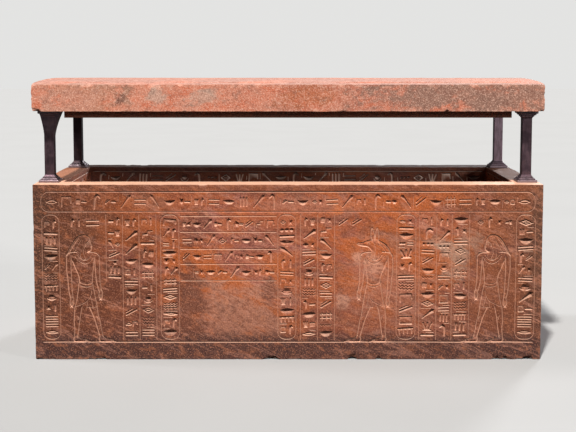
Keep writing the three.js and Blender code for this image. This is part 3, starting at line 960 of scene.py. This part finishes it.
def lid():
    points, carved, normal, faces = gather(lid_patches(), 4)
    depth, cut = carved.T
    lo, hi = LID_LO.copy(), LID_HI.copy()
    lo[2] += TONGUE
    hi[2] -= LID_RISE
    chips = scattered_chips(lo, hi, LID_SMALL_CHIPS, 8)
    for along, radii, deep in LID_CHIPS:
        chips.append(arris_chip(lo, hi, (lo[0] + along, 0, 0), (0, -1, 1), radii, deep))
    for sides, radii, deep in LID_CORNERS:
        chips.append(arris_chip(lo, hi, (0, 0, 0), sides, radii, deep))
    radius = arris_radius(points, 33, *LID_ARRIS)
    on_tongue = points[:, 2] < lo[2] - 0.01
    worn = uneven(points, lo, hi, LID_UNEVEN, 53)
    worn = np.where(on_tongue[:, None], worn, rounded(worn, lo, hi, radius))
    worn, mark = broken(worn, chips)
    worn -= normal * depth[:, None]
    vault = 1 - (2 * points[:, 1] / WIDTH) ** 2
    rise = LID_RISE * vault * np.clip((points[:, 2] - lo[2]) / LID_EDGE, 0, 1)
    worn[:, 2] += rise
    to_edge = np.sort(np.minimum(points - lo, hi - points), axis=1)[:, 1]
    edge = np.clip(1 - to_edge / LID_EDGE_PALE, 0, 1)
    made = stone_mesh("lid_stonework", worn, faces, {"cut": cut, "edge": edge, "broken": mark})
    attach(made, "root")
    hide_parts("lid")
    return made


# ---- Posts

SHAFT = 41
FOOT_STEPS = [
    (44, 0),
    (44, 9.5),
    (42, 12),
    (36.5, 13),
    (36.5, 16.5),
    (33, 19.5),
    (29, 20.5),
    (29, 24.5),
    (26.5, 26),
    (23.5, 29),
    (21.2, 34),
]
POST_ARRIS = 0.9
HAUNCH_HEIGHT = 132
HAUNCH_OUT = 22
HAUNCH_IN = 38
HAUNCH_SIDE = 9


def skin(bm, rings):
    """A closed shape through rings of four points each."""
    for low, high in zip(rings, rings[1:]):
        for k in range(4):
            n = (k + 1) % 4
            bm.faces.new((low[k], low[n], high[n], high[k]))
    bm.faces.new(rings[0][::-1])
    bm.faces.new(rings[-1])


def square_turning(bm, profile):
    """A square post: each profile point is a half width and a height."""
    corners = ((-1, -1), (1, -1), (1, 1), (-1, 1))
    rings = [[bm.verts.new((sx * half, sy * half, z)) for sx, sy in corners] for half, z in profile]
    skin(bm, rings)


def haunch(bm, height):
    """The flared head of the front left post, set over the shaft."""
    steps = 9
    sides = []
    for k in range(steps + 1):
        t = k / steps
        flare = t**1.7
        z = height - HAUNCH_HEIGHT * (1 - t) - 0.4
        left = -SHAFT / 2 + 0.6 - HAUNCH_OUT * flare
        right = SHAFT / 2 - 0.6 + HAUNCH_IN * flare
        half = SHAFT / 2 - 0.6 + HAUNCH_SIDE * flare
        sides.append((left, right, half, z))
    rings = [
        [bm.verts.new(p) for p in ((a, -h, z), (b, -h, z), (b, h, z), (a, h, z))] for a, b, h, z in sides
    ]
    skin(bm, rings)


def post(node, flared, metal):
    lo, hi = box_mm(node)
    height = hi[2] - lo[2]
    bm = bmesh.new()
    head = [(half, height - z) for half, z in reversed(FOOT_STEPS)]
    square_turning(bm, FOOT_STEPS + head)
    if flared:
        haunch(bm, height)
    bmesh.ops.recalc_face_normals(bm, faces=bm.faces[:])
    bm.transform(Matrix.Translation((*post_place(node), lo[2])))
    bm.transform(Matrix.Scale(MM, 4))
    mesh = bpy.data.meshes.new(node + "_metal")
    bm.to_mesh(mesh)
    bm.free()
    made = placed(node + "_metal", mesh)
    soften = made.modifiers.new("arrises", "BEVEL")
    soften.width = POST_ARRIS * MM
    soften.segments = 2
    soften.limit_method = "ANGLE"
    soften.angle_limit = math.radians(20)
    mesh.materials.append(metal)
    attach(made, "root")
    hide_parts(node)
    return made


# ---- Materials


def srgb(r, g, b):
    """A colour from 0-255 display values."""
    parts = (c / 255 for c in (r, g, b))
    return *(c / 12.92 if c <= 10 / 255 else ((c + 0.055) / 1.055) ** 2.4 for c in parts), 1


class Graph:
    """Short names for the nodes that the materials use. A value is a socket, a number or a colour."""

    def __init__(self, name):
        self.material = bpy.data.materials.new(name)
        self.material.use_nodes = True
        self.tree = self.material.node_tree
        self.tree.nodes.clear()
        self.place = self.add("ShaderNodeTexCoord").outputs["Object"]

    def add(self, kind, feeds=(), **settings):
        """A node with its settings, and its inputs fed by name or number."""
        node = self.tree.nodes.new(kind)
        for key, value in settings.items():
            setattr(node, key, value)
        for key, value in dict(feeds).items():
            self.feed(node.inputs[key], value)
        return node

    def feed(self, socket, value):
        if isinstance(value, bpy.types.NodeSocket):
            self.tree.links.new(value, socket)
        else:
            socket.default_value = value

    def math(self, operation, *values):
        return self.add("ShaderNodeMath", enumerate(values), operation=operation).outputs[0]

    def vector(self, operation, *values):
        return self.add("ShaderNodeVectorMath", enumerate(values), operation=operation)

    def stretch(self, size, offset=(0, 0, 0), dip=0.0):
        """Makes a texture `size` times as large along x, y and z, dipping to the right by degrees."""
        feeds = {"Vector": self.place, "Scale": size, "Location": offset}
        feeds["Rotation"] = (0, math.radians(dip), 0)
        return self.add("ShaderNodeMapping", feeds, vector_type="TEXTURE").outputs[0]

    def noise(self, size, detail=4.0, rough=0.55, twist=0.0, vector=None):
        """Noise with features about `size` metres across."""
        feeds = {"Vector": vector or self.place, "Scale": 1 / size, "Detail": detail}
        feeds |= {"Roughness": rough, "Distortion": twist}
        return self.add("ShaderNodeTexNoise", feeds).outputs["Fac"]

    def cells(self, size):
        """The distance to the middle of cells about `size` metres across."""
        return self.add("ShaderNodeTexVoronoi", {"Vector": self.place, "Scale": 1 / size}).outputs["Distance"]

    def between(self, value, low, high, to_low=0.0, to_high=1.0):
        """Rescales low..high to to_low..to_high, with a soft start and end."""
        feeds = {"Value": value, "From Min": low, "From Max": high, "To Min": to_low, "To Max": to_high}
        return self.add("ShaderNodeMapRange", feeds, interpolation_type="SMOOTHSTEP").outputs[0]

    def mix(self, factor, a, b):
        return self.add("ShaderNodeMix", {0: factor, 6: a, 7: b}, data_type="RGBA").outputs[2]

    def layers(self, colour, rows):
        """Lays colours over one another. A row: a value, its start, where it is full, strength, colour."""
        for value, start, full, strength, tint in rows:
            colour = self.mix(self.between(value, start, full, 0, strength), colour, srgb(*tint))
        return colour

    def attribute(self, name):
        return self.add("ShaderNodeAttribute", attribute_name=name).outputs["Fac"]

    def part(self, vector, name):
        return self.add("ShaderNodeSeparateXYZ", {0: vector}).outputs[name]

    def axis(self, name):
        return self.part(self.place, name)

    def spot(self, centre, radii, ragged):
        """A soft-edged patch of the surface, from 0 outside to 1 inside."""
        away = self.vector("SUBTRACT", self.place, centre).outputs[0]
        scaled = self.vector("DIVIDE", away, radii).outputs[0]
        length = self.vector("LENGTH", scaled).outputs["Value"]
        distance = self.math("ADD", length, self.math("MULTIPLY_ADD", ragged, 5.0, -2.5))
        return self.between(distance, 1.15, 0.45)

    def bump(self, height, distance, strength=1.0, under=None):
        feeds = {"Strength": strength, "Distance": distance, "Height": height}
        if under is not None:
            feeds["Normal"] = under
        return self.add("ShaderNodeBump", feeds).outputs[0]

    def finish(self, colour, roughness, normal, metallic=0.0, specular=0.35):
        feeds = {"Base Color": colour, "Roughness": roughness, "Normal": normal}
        feeds |= {"Metallic": metallic, "Specular IOR Level": specular}
        shader = self.add("ShaderNodeBsdfPrincipled", feeds)
        self.add("ShaderNodeOutputMaterial", {"Surface": shader.outputs[0]})
        return self.material


# Patches of other colour on the chest's front: x and z of the middle, half sizes, strength and colour.
PALE = srgb(196, 164, 144)
ROSE = srgb(226, 166, 140)
PINK = srgb(202, 142, 118)
BROWN = srgb(108, 58, 42)
GREY_BROWN = srgb(112, 78, 62)
PURPLE = srgb(138, 82, 76)
DARK = srgb(62, 38, 34)
ORANGE = srgb(182, 96, 50)
FRONT_STAINS = [
    ((-0.9, 0.2), (0.5, 0.3), 0.75, BROWN),
    ((-0.93, 0.62), (0.2, 0.12), 0.4, GREY_BROWN),
    ((-0.55, 0.12), (0.3, 0.1), 0.5, PURPLE),
    ((0.25, 0.18), (0.3, 0.12), 0.45, PURPLE),
    ((-0.05, 0.6), (0.35, 0.2), 0.35, PURPLE),
    ((0.55, 0.55), (0.2, 0.15), 0.3, ORANGE),
    ((0.95, 0.3), (0.35, 0.45), 0.25, GREY_BROWN),
    ((-0.22, 0.2), (0.28, 0.17), 0.8, PINK),
    ((0.45, 0.3), (0.25, 0.2), 0.3, PINK),
    ((0.735, 0.46), (0.08, 0.1), 0.75, PALE),
    ((0.8, 0.53), (0.07, 0.05), 0.5, PALE),
    ((0.66, 0.52), (0.05, 0.05), 0.4, PALE),
    ((0.24, 0.258), (0.035, 0.035), 0.75, ROSE),
    ((0.39, 0.42), (0.06, 0.06), 0.5, ROSE),
    ((0.3, 0.47), (0.03, 0.03), 0.6, ROSE),
    ((-0.43, 0.22), (0.08, 0.2), 0.9, BROWN),
    ((-0.085, 0.3), (0.035, 0.07), 0.85, BROWN),
    ((-0.04, 0.03), (0.12, 0.03), 0.85, DARK),
    ((1.0, 0.03), (0.26, 0.06), 0.7, DARK),
    ((-1.0, 0.03), (0.2, 0.05), 0.5, DARK),
    ((-1.11, 0.35), (0.07, 0.5), 0.75, GREY_BROWN),
    ((1.12, 0.35), (0.07, 0.5), 0.6, GREY_BROWN),
    ((0, 0.775), (1.3, 0.035), 0.5, BROWN),
    ((-0.62, 0.13), (0.14, 0.07), 0.4, GREY_BROWN),
    ((-1.0, 0.5), (0.1, 0.12), 0.4, GREY_BROWN),
    ((0.1, 0.69), (0.3, 0.04), 0.3, PINK),
    ((-0.62, 0.7), (0.12, 0.04), 0.3, PINK),
]


def painted_light_and_dust(g, colour, pale, strength):
    """Paler where a face looks up, by touch, dust and painted light. Painted shade darkens a face that looks
    down.
    """
    upward = g.part(g.add("ShaderNodeNewGeometry").outputs["Normal"], "Z")
    colour = g.layers(colour, [(upward, -0.2, -0.6, 0.85, (46, 24, 18))])
    return g.mix(g.math("MULTIPLY", g.between(upward, 0.5, 0.95), strength), colour, pale)


# Where the chest is darker: the axis, where it starts, where it is full, strength and colour.
DARKER_ZONES = [
    ("X", -0.25, -1.1, 0.9, srgb(86, 43, 21)),
    ("X", 0.5, 1.1, 0.65, srgb(106, 62, 38)),
    ("X", -0.98, -1.12, 0.8, srgb(66, 42, 30)),
    ("X", 1.02, 1.12, 0.7, srgb(74, 50, 38)),
    ("Z", 0.45, 0.1, 0.5, srgb(100, 54, 38)),
    ("Z", 0.14, 0.085, 0.9, srgb(66, 42, 40)),
    ("Z", 0.752, 0.77, 0.45, srgb(116, 66, 44)),
]


def chest_stone():
    g = Graph("red_quartzite")
    broad = g.noise(0.42, 4, 0.6, 0.6, g.stretch((1.3, 1.2, 0.9)))
    purple = g.noise(0.28, 4, 0.62, 0.8, g.stretch((1.5, 1.2, 0.8), (4, 2, 9), 14))
    middle = g.noise(0.13, 5, 0.6, 0.7, g.stretch((1.4, 1.2, 0.8), (1, 0, 2), 10))
    mottle = g.noise(0.04, 5, 0.64, 0.5, g.stretch((1.35, 1.1, 0.8), (0, 0, 0), 20))
    flecks = g.noise(0.016, 4, 0.7, 0.5, g.stretch((1.5, 1, 0.7), (0, 0, 0), 22))
    grain = g.noise(0.0062, 3, 0.72)
    colour = g.mix(g.between(broad, 0.42, 0.58), srgb(186, 92, 38), srgb(162, 82, 48))
    colour = g.layers(colour, [
        (purple, 0.48, 0.6, 0.8, (152, 88, 78)),
        (middle, 0.5, 0.62, 0.6, (182, 96, 50)),
        (middle, 0.48, 0.36, 0.65, (118, 62, 38)),
    ])
    ragged = g.math("ADD", g.math("MULTIPLY", middle, 0.6), g.math("MULTIPLY", mottle, 0.4))
    for (x, z), (wide, tall), strength, tint in FRONT_STAINS:
        spot = g.spot((x, -WIDTH / 2 * MM, z), (wide, 0.05, tall), ragged)
        speckled = g.math("MULTIPLY", spot, g.between(flecks, 0.38, 0.56, strength * 0.6, strength))
        colour = g.mix(speckled, colour, tint)
    wander = g.math("MULTIPLY_ADD", ragged, 1.2, -0.6)
    front = g.between(g.axis("Y"), -0.3, -0.42)
    for name, start, full, strength, tint in DARKER_ZONES:
        place = g.math("MULTIPLY_ADD", wander, abs(full - start), g.axis(name))
        amount = g.between(place, start, full, 0, strength)
        if name == "X":
            amount = g.math("MULTIPLY", amount, front)
        colour = g.mix(amount, colour, tint)
    colour = g.layers(colour, [
        (mottle, 0.53, 0.66, 0.3, (196, 118, 78)),
        (mottle, 0.47, 0.35, 0.3, (104, 54, 34)),
    ])
    streak = g.noise(0.017, 4, 0.62, 0.6, g.stretch((4.5, 1, 0.6), (0, 0, 0), 21))
    above_foot = g.between(g.axis("Z"), 0.06, 0.13, 0.3, 1)
    patchy = g.math("MULTIPLY", g.between(purple, 0.42, 0.58, 0.1, 0.45), above_foot)
    for start, full, tint in ((0.54, 0.64, srgb(206, 142, 118)), (0.46, 0.37, srgb(92, 50, 40))):
        colour = g.mix(g.math("MULTIPLY", g.between(streak, start, full), patchy), colour, tint)
    wander_of_vein = g.noise(0.34, 5, 0.6, 0.5, g.stretch((2.2, 1, 0.6), (3, 1, 7), 24))
    vein = g.math("ABSOLUTE", g.math("SUBTRACT", wander_of_vein, 0.5))
    colour = g.layers(colour, [
        (vein, 0.014, 0.0, 0.28, (196, 136, 116)),
        (flecks, 0.53, 0.64, 0.28, (204, 128, 92)),
        (flecks, 0.47, 0.37, 0.35, (88, 44, 28)),
        (grain, 0.54, 0.64, 0.45, (214, 148, 116)),
        (grain, 0.46, 0.36, 0.55, (68, 34, 24)),
    ])
    # Painted shade: the long inner walls of the hollow are darkened.
    colour = g.mix(g.math("MULTIPLY", g.attribute("inner"), 0.6), colour, srgb(58, 32, 26))
    # Cut marks turn pale; on the long inner walls they are painted paler still, as painted light.
    pale_cut_and_painted_light = g.mix(g.attribute("inner"), srgb(234, 178, 150), srgb(240, 212, 196))
    colour = g.mix(g.attribute("cut"), colour, pale_cut_and_painted_light)
    edge = g.math("MULTIPLY", g.attribute("edge"), g.between(mottle, 0.47, 0.6, 0.0, 0.3))
    colour = g.mix(edge, colour, srgb(190, 130, 102))
    colour = g.mix(g.math("MULTIPLY", g.attribute("broken"), 0.35), colour, srgb(160, 108, 88))
    # Faces that look up take painted light and shadow: pale at the front, mid brown at the ends, dark at the
    # back in the lid's shadow.
    rim = g.mix(g.between(g.axis("Y"), 0.25, 0.32), srgb(158, 106, 80), srgb(66, 42, 34))
    rim = g.mix(g.between(g.axis("Y"), -0.2, -0.33), rim, srgb(240, 188, 160))
    colour = painted_light_and_dust(g, colour, rim, 0.85)
    rough = g.between(mottle, 0.3, 0.7, 0.55, 0.8)
    fine = g.bump(grain, 0.0012, 0.9)
    pits = g.bump(g.between(g.noise(0.012, 4, 0.7), 0.34, 0.44), 0.002, 0.6, fine)
    return g.finish(colour, rough, g.bump(mottle, 0.003, 0.5, pits))


LID_GREY = srgb(186, 164, 148)
LID_STAINS = [
    ((-0.57, 1.16), (0.06, 0.05), 0.55, LID_GREY),
    ((-0.37, 1.17), (0.08, 0.04), 0.5, LID_GREY),
    ((0.09, 1.17), (0.15, 0.06), 0.6, ORANGE),
    ((0.85, 1.18), (0.5, 0.12), 0.8, srgb(136, 104, 90)),
    ((-0.9, 1.15), (0.2, 0.12), 0.45, srgb(160, 124, 100)),
    ((-0.74, 1.16), (0.02, 0.03), 0.6, DARK),
    ((0.5, 1.15), (0.22, 0.05), 0.4, srgb(150, 110, 94)),
    ((-0.95, 1.15), (0.16, 0.06), 0.35, srgb(214, 146, 126)),
]


def lid_stone():
    g = Graph("pecked_quartzite")
    broad = g.noise(0.3, 4, 0.6, 0.6, g.stretch((1.4, 1, 0.8)))
    middle = g.noise(0.085, 5, 0.62, 0.7, g.stretch((1.3, 1, 0.8)))
    mottle = g.noise(0.02, 5, 0.66)
    grain = g.noise(0.0056, 3, 0.75)
    colour = g.mix(g.between(broad, 0.42, 0.58), srgb(208, 132, 106), srgb(186, 116, 94))
    colour = g.layers(colour, [
        (middle, 0.5, 0.62, 0.65, (204, 106, 72)),
        (middle, 0.48, 0.36, 0.65, (150, 104, 88)),
    ])
    ragged = g.math("ADD", g.math("MULTIPLY", middle, 0.6), g.math("MULTIPLY", mottle, 0.4))
    for (x, z), (wide, tall), strength, tint in LID_STAINS:
        spot = g.spot((x, -WIDTH / 2 * MM, z), (wide, 0.05, tall), ragged)
        colour = g.mix(g.math("MULTIPLY", spot, strength), colour, tint)
    colour = g.layers(colour, [
        (mottle, 0.53, 0.66, 0.35, (220, 160, 138)),
        (mottle, 0.46, 0.35, 0.35, (128, 76, 62)),
        (grain, 0.53, 0.63, 0.55, (240, 196, 176)),
        (grain, 0.46, 0.37, 0.5, (104, 60, 50)),
    ])
    colour = g.mix(g.math("MULTIPLY", g.attribute("cut"), 0.7), colour, srgb(228, 170, 146))
    edge = g.math("MULTIPLY", g.attribute("edge"), g.between(mottle, 0.46, 0.6, 0.0, 0.4))
    colour = g.mix(edge, colour, srgb(224, 174, 152))
    colour = g.mix(g.math("MULTIPLY", g.attribute("broken"), 0.4), colour, srgb(206, 156, 136))
    # Painted shade: the tongue under the lid is painted dark.
    tongue_top = LID_LO[2] * MM + 0.035
    colour = g.layers(colour, [(g.axis("Z"), tongue_top, tongue_top - 0.005, 0.65, (60, 30, 20))])
    worn = g.mix(g.between(mottle, 0.42, 0.58), srgb(158, 116, 104), srgb(188, 150, 138))
    # Painted shade on faces that look down, the worn colour on faces that look up.
    colour = painted_light_and_dust(g, colour, worn, g.between(broad, 0.4, 0.6, 0.5, 0.8))
    rough = g.between(mottle, 0.3, 0.7, 0.7, 0.92)
    pecked = g.bump(g.cells(0.009), 0.0014, 0.35)
    fine = g.bump(grain, 0.0012, 0.7, pecked)
    return g.finish(colour, rough, g.bump(mottle, 0.0025, 0.35, fine))


def post_metal():
    g = Graph("dark_metal")
    cloud = g.noise(0.05, 4, 0.6, 0.4)
    brushed = g.noise(0.006, 4, 0.65, 0, g.stretch((1, 1, 8)))
    worn = g.noise(0.018, 5, 0.7)
    colour = g.mix(g.between(cloud, 0.4, 0.6), srgb(80, 62, 70), srgb(104, 82, 90))
    # Painted light and shade: the back right post is painted paler, the back left post darker.
    back = g.between(g.axis("Y"), -0.1, 0.1)
    away = g.math("MULTIPLY", back, g.between(g.axis("X"), -0.5, 0.5, -0.7, 0.85))
    colour = g.mix(g.math("MAXIMUM", away, 0.0), colour, srgb(170, 146, 160))
    colour = g.mix(g.math("MAXIMUM", g.math("MULTIPLY", away, -1.0), 0.0), colour, srgb(24, 18, 22))
    colour = g.layers(colour, [
        (worn, 0.56, 0.7, 0.5, (104, 76, 66)),
        (brushed, 0.35, 0.65, 0.4, (44, 36, 42)),
        (g.add("ShaderNodeNewGeometry").outputs["Pointiness"], 0.52, 0.58, 0.7, (168, 152, 158)),
    ])
    rough = g.between(worn, 0.3, 0.7, 0.34, 0.58)
    scratched = g.bump(brushed, 0.0004, 0.5)
    return g.finish(colour, rough, g.bump(cloud, 0.001, 0.3, scratched), 0.75)


def stage_paint(name, colour):
    g = Graph(name)
    darker = (*(c * 0.98 for c in colour[:3]), 1)
    tone = g.mix(g.between(g.noise(0.9, 3, 0.5), 0.3, 0.7), colour, darker)
    return g.finish(tone, 1.0, g.bump(g.noise(0.02, 3), 0.0004, 0.1), specular=0.0)


# ---- Stage, light and camera

# The camera was fitted with the box at its chosen size: the photo alone doesn't fix its distance.
CAMERA_DISTANCE = 4.67  # from the chest's front
CAMERA_HEIGHT = 1.345
FIELD_OF_VIEW = math.radians(30.16)
LOOKS_DOWN = math.radians(4.82)
SHIFT = 0.12  # of the frame's width, downwards, since the uprights are nearly parallel in the photo


def camera():
    data = bpy.data.cameras.new("camera")
    data.sensor_width = 36
    data.lens = 18 / math.tan(FIELD_OF_VIEW / 2)
    data.shift_y = -SHIFT
    made = placed("camera", data)
    made.location = (0, CHEST_LO[1] * MM - CAMERA_DISTANCE, CAMERA_HEIGHT)
    made.rotation_euler = (math.pi / 2 - LOOKS_DOWN, 0, 0)
    bpy.context.scene.camera = made


def sun(name, azimuth, elevation, strength, softness, colour):
    """A distant lamp. Azimuth 0 shines from the front and 90 from the right; all angles are in degrees."""
    data = bpy.data.lights.new(name, "SUN")
    data.energy = strength
    data.angle = math.radians(softness)
    data.color = colour
    made = placed(name, data)
    a, e = math.radians(azimuth), math.radians(elevation)
    back = Vector((math.sin(a) * math.cos(e), -math.cos(a) * math.cos(e), math.sin(e)))
    made.rotation_euler = (-back).to_track_quat("-Z", "Y").to_euler()


BACKDROP = (0.77, 0.77, 0.76, 1)  # what the camera sees past the floor
FLOOR_COLOUR = (0.415, 0.42, 0.425, 1)
AMBIENT = 0.12  # how much of it lights the stone


def studio():
    """An even pale surround. Only its light is dimmed, so that the carving keeps its shadows."""
    world = bpy.data.worlds.new("studio")
    world.use_nodes = True
    nodes, links = world.node_tree.nodes, world.node_tree.links
    background = nodes["Background"]
    background.inputs[0].default_value = BACKDROP
    path = nodes.new("ShaderNodeLightPath")
    strength = nodes.new("ShaderNodeMapRange")
    strength.inputs["To Min"].default_value = AMBIENT
    strength.inputs["To Max"].default_value = 1.0
    links.new(path.outputs["Is Camera Ray"], strength.inputs["Value"])
    links.new(strength.outputs[0], background.inputs[1])
    bpy.context.scene.world = world


def stage():
    bpy.ops.mesh.primitive_plane_add(size=80, location=(0, 0, 0))
    floor = bpy.context.object
    floor.name = "floor"
    floor.data.materials.append(stage_paint("floor_paint", FLOOR_COLOUR))
    floor.visible_diffuse = False  # no light comes up from it into the carving
    floor.visible_glossy = False
    studio()


WARM = (1.0, 0.97, 0.95)
COOL = (0.98, 0.98, 1.0)
SUNS = [  # name, azimuth, elevation, strength, softness, colour
    ("key", -20, 58, 4.6, 3, (1.0, 0.97, 0.92)),
    ("low_front", 12, 11, 0.3, 4, WARM),
    ("low_right", 58, 16, 1.1, 6, WARM),
    ("back", 154, 24, 1.9, 10, COOL),
    ("left", 262, 40, 0.9, 10, COOL),
]


# ---- The whole


def main():
    chest().data.materials.append(chest_stone())
    lid().data.materials.append(lid_stone())
    metal = post_metal()
    for node in POST_NODES:
        post(node, node == "post_front_left", metal)
    stage()
    for facts in SUNS:
        sun(*facts)
    camera()
    bpy.context.scene.view_settings.view_transform = "Standard"


main()
